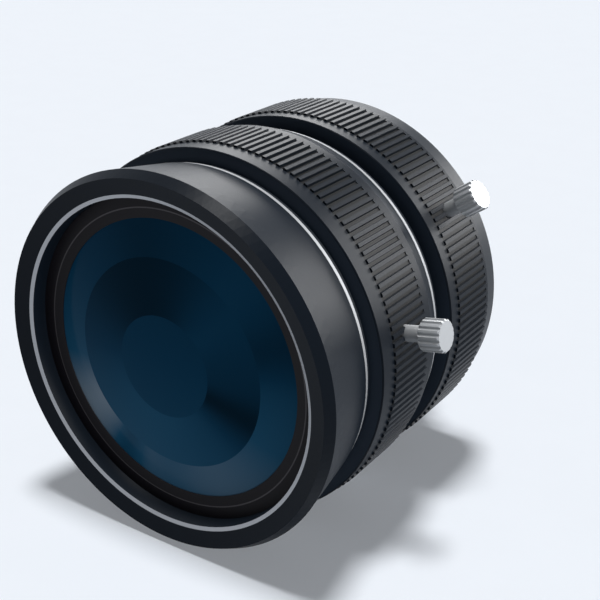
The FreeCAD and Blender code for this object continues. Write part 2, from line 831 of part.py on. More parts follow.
def make_mount_barrel():
    """Camera thread, flange, plate that closes the main barrel, and the tube of the rear glass."""
    spigot_radius = chamber_radius - seat_gap
    tube_radius = rear_bore + rear_tube_wall
    barrel = turned([
        (rear_seat_radius, -mount_thread_length),
        (mount_thread_radius - thread_end_chamfer, -mount_thread_length),
        (mount_thread_radius, -mount_thread_length + thread_end_chamfer),
        (mount_thread_radius, 0),
        (flange_radius, 0),
        (flange_radius, flange_length),
        (mount_plate_radius - mount_plate_chamfer, flange_length),
        (mount_plate_radius, plate_front - mount_plate_rim),
        (mount_plate_radius, plate_front),
        (spigot_radius, plate_front),
        (spigot_radius, spigot_front),
        (tube_radius, spigot_front),
        (tube_radius, rear_tube_front),
        (rear_bore, rear_tube_front),
        (rear_bore, rear_seat),
        (rear_seat_radius, rear_seat),
    ])
    hole = upright_rod(
        mount_screw_radius + running_fit, mount_screw_circle, flange_length, spigot_front + overcut
    )
    pocket = upright_rod(
        mount_head_radius + 2 * running_fit,
        mount_screw_circle,
        flange_length - overcut,
        flange_length + mount_head_pocket,
    )
    return cut_around(barrel, hole.fuse(pocket), mount_screw_count, mount_screw_angle)


def make_mount_screws():
    """Slotted screws that hold the mount barrel to the main barrel."""
    head_front = flange_length + mount_head_pocket
    head_rear = head_front - mount_head_height
    shank = upright_rod(mount_screw_radius, mount_screw_circle, head_rear, head_front + mount_screw_length)
    head = upright_rod(mount_head_radius, mount_screw_circle, head_rear, head_front)
    slot = Part.makeBox(
        4 * mount_head_radius,
        screw_slot_width,
        screw_slot_depth + overcut,
        V(mount_screw_circle - 2 * mount_head_radius, -screw_slot_width / 2, head_rear - overcut),
    )
    screw = shank.fuse(head).cut(slot)
    return Part.makeCompound(around(screw, mount_screw_count, mount_screw_angle))


def make_rear_glass():
    """Element next to the camera."""
    clear_radius = rear_glass_radius - rear_seat_width
    return glass(rear_glass_radius, rear_low, rear_high, -rear_glass_hollow, rear_glass_bulge, clear_radius)


def make_rear_spacer():
    """Ring between the two rear elements."""
    return plain_ring(rear_spacer_bore, rear_glass_radius, rear_spacer_low, rear_spacer_high)


def make_inner_glass():
    """Element behind the iris."""
    return glass(
        rear_glass_radius, inner_low, inner_high, -inner_glass_hollow, inner_glass_bulge, rear_spacer_bore
    )


def make_rear_retaining_ring():
    """Ring screwed into the rear tube."""
    return plain_ring(rear_ring_bore, rear_glass_radius, rear_ring_low, rear_ring_high)


def save(shape, name):
    """Lay a piece down, with its optical axis along -Y, and write it."""
    laid = shape.copy()
    laid.rotate(ORIGIN, V(1, 0, 0), 90)
    laid.exportStep("parts/" + name + ".step")


os.makedirs("parts", exist_ok=True)

# Front group, which the focus ring drives in and out
save(make_front_barrel(), "front_barrel")
save(make_front_retaining_ring(), "front_retaining_ring")
save(make_front_glass(), "front_element")
save(make_front_spacer(), "front_spacer")
save(make_second_glass(), "second_element")

# Focus ring and what holds it
save(make_focus_ring(), "focus_ring")
save(make_lock_screw(tail_radius + lock_tip_gap, focus_screw_height, focus_lock_angle), "focus_lock_screw")
save(make_focus_retainer(), "focus_retaining_ring")
save(make_stop_pin(), "focus_stop_pin")
save(make_guide_pins(), "guide_pins")

# Main barrel and its glass
save(make_main_barrel(), "main_barrel")
save(make_middle_retaining_ring(), "middle_retaining_ring")
save(make_third_glass(), "third_element")
save(make_middle_spacer(), "middle_spacer")
save(make_doublet_front(), "doublet_front_element")
save(make_doublet_rear(), "doublet_rear_element")

# Iris and the ring that sets it
save(make_iris_base(), "iris_base_plate")
for blade_number in range(blade_count):
    save(make_blade(blade_number), "iris_blade_" + str(blade_number + 1))
save(make_cam_ring(), "iris_cam_ring")
save(make_iris_ring(), "iris_retaining_ring")
save(make_aperture_ring(), "aperture_ring")
save(make_drive_screw(), "aperture_drive_screw")
save(
    make_lock_screw(boss_radius + lock_tip_gap, aperture_screw_height, aperture_lock_angle),
    "aperture_lock_screw",
)

# Mount and the rear glass
save(make_mount_barrel(), "mount_barrel")
save(make_mount_screws(), "mount_screws")
save(make_inner_glass(), "inner_element")
save(make_rear_spacer(), "rear_spacer")
save(make_rear_glass(), "rear_element")
save(make_rear_retaining_ring(), "rear_retaining_ring")
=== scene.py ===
"""Looks of a fixed focal length lens for a short wave infrared camera.

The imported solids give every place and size. This file dresses them in the finishes of the real
lens, and replaces those whose real surface is finer than the solid: the front barrel with its
dished face, the two outer glass elements, and the mount barrel with its camera thread and screw
pockets. Sizes are in millimetres in the lens's own terms, a radius from the optical axis and a
height forward of the camera flange, and they turn into metres where a mesh is made. An angle
starts at the right hand side, seen from the front, and grows upwards.
"""
import json
import logging
import math
from dataclasses import dataclass, field
from enum import Enum
from typing import Optional, Sequence, Union

import bmesh
import bpy
import numpy as np
from mathutils import Matrix, Vector


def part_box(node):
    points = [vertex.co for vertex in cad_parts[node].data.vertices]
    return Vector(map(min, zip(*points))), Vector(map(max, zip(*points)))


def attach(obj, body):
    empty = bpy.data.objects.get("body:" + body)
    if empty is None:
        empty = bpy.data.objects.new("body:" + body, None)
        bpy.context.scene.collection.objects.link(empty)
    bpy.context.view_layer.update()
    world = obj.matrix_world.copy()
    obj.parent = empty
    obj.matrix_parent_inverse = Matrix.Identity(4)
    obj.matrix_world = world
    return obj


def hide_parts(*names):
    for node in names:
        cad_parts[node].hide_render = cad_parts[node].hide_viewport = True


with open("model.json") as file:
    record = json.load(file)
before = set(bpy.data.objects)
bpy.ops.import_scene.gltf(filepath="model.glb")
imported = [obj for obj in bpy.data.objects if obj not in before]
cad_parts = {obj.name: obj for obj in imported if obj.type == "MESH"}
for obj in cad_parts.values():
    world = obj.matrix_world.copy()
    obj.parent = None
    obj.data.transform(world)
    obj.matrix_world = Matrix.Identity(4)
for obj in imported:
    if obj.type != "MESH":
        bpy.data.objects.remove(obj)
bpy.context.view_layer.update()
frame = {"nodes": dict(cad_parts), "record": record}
LOG = logging.getLogger("lens")

# A millimetre in metres
MM = 0.001
# Corners of a new mesh that are sharper than this stay sharp when it is shaded
CORNER_DEG = 25.0
# Share by which a surface's roughness goes up and down with its fine relief
ROUGHNESS_SWING = 0.12
# Depth of the fine relief where a finish has it in full, and size of the patches that its colour drifts over
RELIEF_DEPTH_MM = 0.02
PATCH_MM = 8.0

Value = Union[float, Sequence[float], bpy.types.NodeSocket]


def linear(hex_colour: str) -> tuple[float, float, float, float]:
    """Turn an sRGB hex colour into linear light.

    Args:
        hex_colour: six hex digits, such as "12171b".

    Returns:
        Red, green, blue and an alpha of one, all linear.
    """
    parts = np.array([int(hex_colour[i:i + 2], 16) for i in (0, 2, 4)]) / 255.0
    light = np.where(parts <= 0.04045, parts / 12.92, ((parts + 0.055) / 1.055) ** 2.4)
    return (float(light[0]), float(light[1]), float(light[2]), 1.0)


def add(tree: bpy.types.NodeTree, kind: str, inputs: Optional[dict] = None, **settings) -> bpy.types.Node:
    """Add a node with its settings, values and links.

    Args:
        tree: the node tree to add to.
        kind: the node's type name.
        inputs: for each socket name or number, a value or the output socket to link.
        settings: attributes of the node itself.

    Returns:
        The new node.
    """
    node = tree.nodes.new(kind)
    for name, value in settings.items():
        setattr(node, name, value)
    for name, value in (inputs or {}).items():
        if isinstance(value, bpy.types.NodeSocket):
            tree.links.new(value, node.inputs[name])
        else:
            node.inputs[name].default_value = value
    return node


class Texture(Enum):
    """How a surface was made, which sets the run of its fine relief."""

    TURNED = "rings round the optical axis"
    GRAIN = "even grain"


@dataclass(frozen=True)
class Zone:
    """A ring shaped zone with a look of its own, between two heights and two radii in millimetres."""

    heights: tuple[float, float]
    radii: tuple[float, float]
    colour: str
    roughness: float
    metallic: float = 0.0

    def share(
        self, tree: bpy.types.NodeTree, radius: bpy.types.NodeSocket, height: bpy.types.NodeSocket
    ) -> bpy.types.NodeSocket:
        """One in the zone and zero elsewhere: a band test of the radius times one of the height.

        Args:
            tree: the material's tree.
            radius: distance from the optical axis.
            height: height on the optical axis.

        Returns:
            The share's socket.
        """
        tests = []
        for socket, (low, high) in ((radius, self.radii), (height, self.heights)):
            band = {0: socket, 1: (low + high) / 2, 2: (high - low) / 2}
            tests.append(add(tree, "ShaderNodeMath", band, operation="COMPARE").outputs[0])
        return add(tree, "ShaderNodeMath", {0: tests[0], 1: tests[1]}, operation="MULTIPLY").outputs[0]


@dataclass(frozen=True)
class Finish:
    """A real surface and how it was made, as numbers for one shader.

    Grain sizes are in millimetres, and are drawn as coarse as they must be to show.
    """

    name: str
    colour: str
    roughness: float
    metallic: float = 0.0
    specular: float = 0.5
    texture: Texture = Texture.GRAIN
    grain_mm: float = 0.3
    relief: float = 0.1
    wear: float = 0.12
    zones: tuple[Zone, ...] = ()

    def material(self) -> bpy.types.Material:
        """Build the material, or give the one that is already built.

        Returns:
            The finished material.
        """
        known = bpy.data.materials.get(self.name)
        if known is not None:
            return known
        material = bpy.data.materials.new(self.name)
        material.use_nodes = True
        tree = material.node_tree
        tree.nodes.clear()
        place, radius, height = self.lens_place(tree)
        fine = self.fine_relief(tree, place, radius, height)
        colour = self.colouring(tree, place)
        swing = {
            "Value": fine,
            "To Min": self.roughness * (1 - ROUGHNESS_SWING),
            "To Max": min(1.0, self.roughness * (1 + ROUGHNESS_SWING)),
        }
        rough = add(tree, "ShaderNodeMapRange", swing).outputs["Result"]
        metallic: Value = self.metallic
        for zone in self.zones:
            share = zone.share(tree, radius, height)
            tones = {0: share, 6: colour, 7: linear(zone.colour)}
            colour = add(tree, "ShaderNodeMix", tones, data_type="RGBA").outputs[2]
            rough = add(tree, "ShaderNodeMix", {0: share, 2: rough, 3: zone.roughness}).outputs[0]
            if zone.metallic != self.metallic:
                metallic = add(tree, "ShaderNodeMix", {0: share, 2: metallic, 3: zone.metallic}).outputs[0]
        depth = {"Height": fine, "Strength": self.relief, "Distance": RELIEF_DEPTH_MM * MM}
        bump = add(tree, "ShaderNodeBump", depth)
        shader = add(
            tree,
            "ShaderNodeBsdfPrincipled",
            {
                "Base Color": colour,
                "Roughness": rough,
                "Metallic": metallic,
                "Specular IOR Level": self.specular,
                "Normal": bump.outputs["Normal"],
            },
        )
        add(tree, "ShaderNodeOutputMaterial", {"Surface": shader.outputs["BSDF"]})
        return material

    def lens_place(self, tree: bpy.types.NodeTree) -> tuple[bpy.types.NodeSocket, ...]:
        """Object coordinates in millimetres, and the lens's own radius and height from them.

        Args:
            tree: the material's tree.

        Returns:
            Sockets of the place, of its distance from the optical axis and of its height on the axis.
        """
        metres = add(tree, "ShaderNodeTexCoord").outputs["Object"]
        place = add(tree, "ShaderNodeVectorMath", {0: metres, "Scale": 1 / MM}, operation="SCALE").outputs[0]
        flat = add(tree, "ShaderNodeVectorMath", {0: place, 1: (1, 0, 1)}, operation="MULTIPLY").outputs[0]
        radius = add(tree, "ShaderNodeVectorMath", {0: flat}, operation="LENGTH").outputs["Value"]
        height = add(tree, "ShaderNodeVectorMath", {0: place, 1: (0, -1, 0)}, operation="DOT_PRODUCT")
        return place, radius, height.outputs["Value"]

    def fine_relief(
        self,
        tree: bpy.types.NodeTree,
        place: bpy.types.NodeSocket,
        radius: bpy.types.NodeSocket,
        height: bpy.types.NodeSocket,
    ) -> bpy.types.NodeSocket:
        """Height of the fine relief, from 0 to 1: noise over radius and height, or over the place.

        Args:
            tree: the material's tree.
            place: object coordinates in millimetres.
            radius: distance from the optical axis.
            height: height on the optical axis.

        Returns:
            The relief's socket.
        """
        if self.texture is Texture.TURNED:
            place = add(tree, "ShaderNodeCombineXYZ", {"X": radius, "Y": height}).outputs["Vector"]
        noise = add(tree, "ShaderNodeTexNoise", {"Vector": place, "Scale": 1 / self.grain_mm, "Detail": 2.0})
        return noise.outputs["Fac"]

    def colouring(self, tree: bpy.types.NodeTree, place: bpy.types.NodeSocket) -> bpy.types.NodeSocket:
        """Colour that drifts up and down by the wear's share from patch to patch.

        Args:
            tree: the material's tree.
            place: object coordinates in millimetres.

        Returns:
            The colour's socket.
        """
        patches = add(tree, "ShaderNodeTexNoise", {"Vector": place, "Scale": 1 / PATCH_MM, "Detail": 3.0})
        base = np.array(linear(self.colour))[:3]
        shares = (1 - self.wear, 1 + self.wear)
        dark, pale = (tuple(np.append(np.minimum(base * share, 1), 1)) for share in shares)
        tones = {0: patches.outputs["Fac"], 6: dark, 7: pale}
        return add(tree, "ShaderNodeMix", tones, data_type="RGBA").outputs[2]


@dataclass(frozen=True)
class CoatedGlass(Finish):
    """Optical glass with an infrared coating: nearly opaque to the eye, deep blue, with reflections painted
    into its colour.

    The share of painted reflection comes from the mesh's attribute, and a mesh without it stays dark.
    """

    tones: tuple[tuple[float, str], ...] = ()

    def colouring(self, tree: bpy.types.NodeTree, place: bpy.types.NodeSocket) -> bpy.types.NodeSocket:
        """Colour from the share of painted reflection, by a ramp from deep blue to pale grey blue.

        Args:
            tree: the material's tree.
            place: object coordinates in millimetres, not needed here.

        Returns:
            The colour's socket.
        """
        # The attribute holds painted reflection: a higher share paints a paler, lit looking colour
        light = add(tree, "ShaderNodeAttribute", attribute_name="painted_reflection").outputs["Fac"]
        ramp = add(tree, "ShaderNodeValToRGB", {"Fac": light})
        stops = ramp.color_ramp.elements
        for number, (share, colour) in enumerate(self.tones):
            stop = stops[number] if number in (0, 1) else stops.new(share)
            stop.position = share
            stop.color = linear(colour)
        return ramp.outputs["Color"]


@dataclass(frozen=True)
class BlackAnodised(Finish):
    """Aluminium, bead blasted and dyed black in the anodising bath: satin, bright only at a slant."""

    colour: str = "0b121a"
    roughness: float = 0.38
    specular: float = 0.065
    grain_mm: float = 0.25
    relief: float = 0.12


def bare(heights: tuple[float, float], radii: tuple[float, float], colour: str = "bcbec1") -> Zone:
    """Zone turned bare after anodising: a bright ring of metal, matt enough to light up all round."""
    return Zone(heights, radii, colour, 0.35, 0.7)


def groove_painted_shade(heights: tuple[float, float]) -> Zone:
    """Painted shade on the floors of the grip's grooves: a darker, duller black than the rings' tops, where
    shade falls.
    """
    return Zone(heights, (25.4, 25.94), "0a0c0e", 0.45)


def ring_face_painted_light(heights: tuple[float, float]) -> Zone:
    """Painted light on a grip ring's flat front: a paler matt navy that lifts the shade in the gap between
    the rings.
    """
    return Zone(heights, (23.0, 25.8), "252d37", 0.6)


BLACK_ANODISED = BlackAnodised("anodised_aluminium_black_satin")
# The front barrel has a bare ring at its rear edge and a duller one round its mouth
FRONT_BARREL_BLACK = BlackAnodised(
    "anodised_aluminium_black_front_barrel",
    zones=(bare((38.77, 39.5), (23.9, 25.2)), bare((49.49, 49.72), (22.45, 23.0), "9a9ca0")),
)
# The focus ring has a bare ring at its rear edge. Both rings have shade painted into their grooves and light
# painted on their navy fronts
FOCUS_RING_BLACK = BlackAnodised(
    "anodised_aluminium_black_focus_ring",
    zones=(bare((21.85, 22.75), (24.3, 25.6)), groove_painted_shade((26.76, 35.24)), ring_face_painted_light((37.9, 38.0))),
)
# As on the focus ring: shade painted into the grooves and light painted on the flat front
APERTURE_RING_BLACK = BlackAnodised(
    "anodised_aluminium_black_aperture_ring",
    zones=(groove_painted_shade((8.9, 17.58)), ring_face_painted_light((19.6, 19.7))),
)
# The same metal inside the lens, left as turned: duller, with fine rings
MATT_ANODISED = Finish(
    "anodised_aluminium_black_matt",
    "0c0d0f",
    0.55,
    specular=0.1,
    texture=Texture.TURNED,
    grain_mm=0.2,
    relief=0.3,
)
# The front retaining ring: black dye gone slightly purple, with a highlight painted along its inner edge as
# a grey metallic line
RETAINING_RING_BLACK = Finish(
    "anodised_aluminium_black_purple",
    "100e12",
    0.42,
    specular=0.08,
    texture=Texture.TURNED,
    grain_mm=0.2,
    relief=0.15,
    # Painted highlight: a pale grey metallic line along the inner edge
    zones=(Zone((47.2, 47.35), (20.62, 20.8), "3a383a", 0.4, 0.6),),
)
# Thumbscrews of turned aluminium, left bare: pale satin, bright where a lamp strikes them
TURNED_ALUMINIUM = Finish("aluminium_turned_bare", "a8aaac", 0.35, metallic=0.5, grain_mm=0.4, relief=0.05)
# Turned steel of the small screws and pins: a grey shine with fine tool marks
TURNED_STEEL = Finish("stainless_steel_turned", "9c9d9f", 0.3, metallic=1.0, grain_mm=0.2, relief=0.15)
# Spring steel blued nearly black, as iris blades are: dark with a low sheen
BLUED_STEEL = Finish("spring_steel_blackened", "202226", 0.35, metallic=1.0, grain_mm=0.3, relief=0.08)
# Polished glass under its coating: deep blue, with pale reflections painted into its colour
COATED_GLASS_PAINTED_REFLECTIONS = CoatedGlass(
    "optical_glass_painted_reflections",
    "04263a",
    0.12,
    specular=0.01,
    grain_mm=9.0,
    relief=0.0,
    tones=((0.0, "011927"), (1.0, "6e7c88"), (0.35, "09324a"), (0.6, "1b4761")),
)

SLOT_FINISH = {
    "black_anodised": BLACK_ANODISED,
    "matt_black_anodised": MATT_ANODISED,
    "coated_front_glass": COATED_GLASS_PAINTED_REFLECTIONS,
    "coated_glass": COATED_GLASS_PAINTED_REFLECTIONS,
    "bright_aluminium": TURNED_ALUMINIUM,
    "steel": TURNED_STEEL,
    "blackened_steel": BLUED_STEEL,
}


def turned_mesh(
    name: str, outline: np.ndarray, spokes: int, swell: Optional[np.ndarray] = None, poles: bool = False
) -> bpy.types.Mesh:
    """Carry an outline round the optical axis.

    The point of row i and spoke j is (r cos a, -h, r sin a), where (r, h) is the outline's point i,
    its radius grown by the swell of row i and spoke j, and a is the turn's share j / spokes.
    An outline without poles is a closed loop. One with poles starts and ends on the axis, and both
    ends close in a fan of triangles. It runs so that the material lies on its left hand side.

    Args:
        name: the mesh's name.
        outline: radius and height of each row, in millimetres.
        spokes: number of points in each row.
        swell: what each point's radius grows by, one row for each row of the outline.
        poles: whether the outline starts and ends on the axis.

    Returns:
        The mesh, in metres, smooth except at its corners.
    """
    rows = outline[1:-1] if poles else outline
    turn = 2 * np.pi * np.arange(spokes) / spokes
    radius = rows[:, :1] + (0 if swell is None else swell)
    height = np.broadcast_to(rows[:, 1:], (len(rows), spokes))
    points = np.stack((radius * np.cos(turn), -height, radius * np.sin(turn)), axis=-1).reshape(-1, 3)
    steps = np.arange(len(rows) - 1 if poles else len(rows))[:, None]
    here, after = np.arange(spokes)[None, :], (np.arange(spokes)[None, :] + 1) % spokes
    ahead = (steps + 1) % len(rows)
    row, next_row = steps * spokes, ahead * spokes
    quads = np.stack((row + here, row + after, next_row + after, next_row + here), axis=-1)
    faces = quads.reshape(-1, 4).tolist()
    if poles:
        tips = np.array([(0.0, -outline[0, 1], 0.0), (0.0, -outline[-1, 1], 0.0)])
        first, last = len(points), len(points) + 1
        points = np.vstack((points, tips))
        foot = (len(rows) - 1) * spokes
        faces += np.stack((np.full(spokes, first), after[0], here[0]), axis=-1).tolist()
        faces += np.stack((np.full(spokes, last), foot + here[0], foot + after[0]), axis=-1).tolist()
    mesh = bpy.data.meshes.new(name)
    mesh.from_pydata((points * MM).tolist(), [], faces)
    mesh.shade_smooth()
    mesh.set_sharp_from_angle(angle=math.radians(CORNER_DEG))
    return mesh


def put(
    name: str, mesh: bpy.types.Mesh, finish: Finish, node: str, body: str
) -> bpy.types.Object:
    """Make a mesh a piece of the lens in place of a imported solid.

    Args:
        name: the piece's name.
        mesh: its mesh.
        finish: its surface.
        node: the solid that it stands for.
        body: the body that it moves with.

    Returns:
        The piece's object.
    """
    mesh.materials.append(finish.material())
    piece = bpy.data.objects.new(name, mesh)
    bpy.context.scene.collection.objects.link(piece)
    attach(piece, body)
    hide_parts(node)
    LOG.info("%s: %d faces, in place of %s, %s", name, len(mesh.polygons), node, finish.name)
    return piece


@dataclass(frozen=True)
class PaintedGlint:
    """A painted glint: a soft light or dark place painted into the reflection's colour, by its angle and its
    half width in degrees.
    """

    angle: float
    width: float
    gain: float

    def over(self, turn: np.ndarray) -> np.ndarray:
        """Its part at each angle: the gain times e to the minus square of the distance in widths."""
        away = (turn - self.angle + 180) % 360 - 180
        return self.gain * np.exp(-((away / self.width) ** 2))


@dataclass(frozen=True)
class Ring:
    """A ring of painted reflection that ends at a radius: a level, a swing round it and its glints."""

    radius: float
    level: float
    swing: float
    # Angle of the painted reflection's bright side
    towards: float
    glints: tuple[PaintedGlint, ...] = ()

    def over(self, turn: np.ndarray) -> np.ndarray:
        """Painted light at each angle: level plus swing times the cosine from its bright side, plus the
        glints.
        """
        light = self.level + self.swing * np.cos(np.radians(turn - self.towards))
        return np.clip(light + sum(glint.over(turn) for glint in self.glints), 0, 1)


@dataclass
class DomedGlass:
    """An outer lens element with ball shaped faces, and the reflections painted on its rings."""

    name: str
    node: str
    body: str
    slot: str
    rim: float
    front_rim: float
    front_bulge: float
    back_rim: float
    back_bulge: float
    back_clear: float
    rings: tuple[Ring, ...]
    rings_in_front: bool = True
    spokes: int = 360
    steps: int = 40
    border_half_width: float = 0.01
    # Share of painted reflection on the face that shows no rings
    plain_light: float = 0.2

    def ball(self, top: float, bulge: float, rim: float, radii: np.ndarray) -> np.ndarray:
        """Rows on a ball: the height at a radius is the top less R minus the root of R^2 - r^2.

        Args:
            top: height of the ball's pole.
            bulge: how far the pole stands forward of the rim, under zero where it stands behind.
            rim: radius of the rim.
            radii: the rows' radii.

        Returns:
            Radius and height of each row.
        """
        size = (rim * rim + bulge * bulge) / (2 * bulge)
        drop = size - np.copysign(np.sqrt(size * size - radii**2), size)
        return np.stack((radii, top - drop), axis=-1)

    def outline(self) -> np.ndarray:
        """Rows from the rear pole over the rim to the front pole, doubled at each ring's border."""
        borders = np.array([ring.radius for ring in self.rings[:-1]])
        half = self.border_half_width
        radii = np.concatenate((np.linspace(0, self.rim, self.steps), borders - half, borders + half))
        radii = np.unique(radii.round(4))
        clear = radii[radii <= self.back_clear]
        back = self.ball(self.back_rim - self.back_bulge, -self.back_bulge, self.back_clear, clear)
        flat = np.array([(self.back_clear, self.back_rim), (self.rim, self.back_rim)])
        front = self.ball(self.front_rim + self.front_bulge, self.front_bulge, self.rim, radii[::-1])
        return np.vstack((back, flat, front))

    def painted_reflection(self, outline: np.ndarray) -> np.ndarray:
        """Share of painted reflection on each row and spoke, and plain_light on the face that shows no
        rings.

        The middle disc's painted light grows evenly from its level at the centre to its ring's at the
        border.

        Args:
            outline: the rows, without their poles.

        Returns:
            One value from 0 to 1 for each row and spoke.
        """
        turn = 360.0 * np.arange(self.spokes) / self.spokes
        middle = (self.front_rim + self.back_rim) / 2
        shows = (outline[:, 1] > middle) == self.rings_in_front
        number = np.searchsorted([ring.radius for ring in self.rings[:-1]], outline[:, 0])
        centre = self.rings[0].level
        near = np.clip(outline[:, :1] / self.rings[0].radius, 0, 1)
        light = np.stack([ring.over(turn) for ring in self.rings])[number]
        light = np.where(number[:, None] == 0, centre + (light - centre) * near, light)
        return np.where(shows[:, None], light, self.plain_light)

    def build(self) -> None:
        """Build the element and store its painted reflection on the points."""
        outline = self.outline()
        mesh = turned_mesh(self.name, outline, self.spokes, poles=True)
        light = self.painted_reflection(outline[1:-1]).ravel()
        poles = [self.plain_light, self.rings[0].level]
        if not self.rings_in_front:
            poles.reverse()
        # Painted reflection, stored on the points for the glass's colour ramp
        layer = mesh.attributes.new("painted_reflection", "FLOAT", "POINT")
        layer.data.foreach_set("value", np.concatenate((light, poles)).astype(np.float32))
        put(self.name, mesh, COATED_GLASS_PAINTED_REFLECTIONS, self.node, self.body)


@dataclass
class FrontShell:
    """The front barrel with its edges as the real one has them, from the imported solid's mesh.

    The real front face is dished: it slopes in to the mouth, whose chamfer lies deeper. The shell's
    rear edge reaches back until it nearly meets the focus ring. Each edge is a ring of points of the
    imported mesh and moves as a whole. It is given by its radius and height before and after, and its
    points lie within the reach of the first. Corners sharper than corner_deg stay sharp.
    """

    edges: tuple[tuple[tuple[float, float], tuple[float, float]], ...] = (
        ((23.15, 50.35), (22.95, 49.7)),
        ((22.5, 50.05), (22.5, 49.48)),
        ((24.15, 38.75), (24.05, 38.15)),
    )
    reach: float = 0.05
    corner_deg: float = 6.0

    def build(self) -> None:
        """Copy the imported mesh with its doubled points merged, and move the edges."""
        mesh = frame["nodes"]["front_barrel"].data.copy()
        mesh.name = "front_barrel_shell"
        mesh.materials.clear()
        shape = bmesh.new()
        shape.from_mesh(mesh)
        bmesh.ops.remove_doubles(shape, verts=shape.verts, dist=1e-7)
        shape.to_mesh(mesh)
        shape.free()
        mesh.normals_split_custom_set(np.zeros((len(mesh.loops), 3)).tolist())
        points = self.moved(mesh)
        mesh.vertices.foreach_set("co", points.astype(np.float32).ravel())
        mesh.shade_smooth()
        mesh.set_sharp_from_angle(angle=math.radians(self.corner_deg))
        put("front_barrel_shell", mesh, FRONT_BARREL_BLACK, "front_barrel", "front_group")

    def moved(self, mesh: bpy.types.Mesh) -> np.ndarray:
        """Points with each edge moved to its new radius r and height h, at (r cos a, -h, r sin a).

        Args:
            mesh: the merged mesh.

        Returns:
            The place of each point, in metres.
        """
        points = np.empty(len(mesh.vertices) * 3, np.float32)
        mesh.vertices.foreach_get("co", points)
        points = points.reshape(-1, 3).astype(float)
        radius, height = np.hypot(points[:, 0], points[:, 2]) / MM, -points[:, 1] / MM
        made = points.copy()
        for (old_radius, old_height), (new_radius, new_height) in self.edges:
            near = (abs(radius - old_radius) < self.reach) & (abs(height - old_height) < self.reach)
            LOG.info("front shell: %d points moved to radius %.2f", int(near.sum()), new_radius)
            growth = new_radius / old_radius
            made[near] = points[near] * np.array((growth, 1, growth))
            made[near, 1] = -new_height * MM
        return made


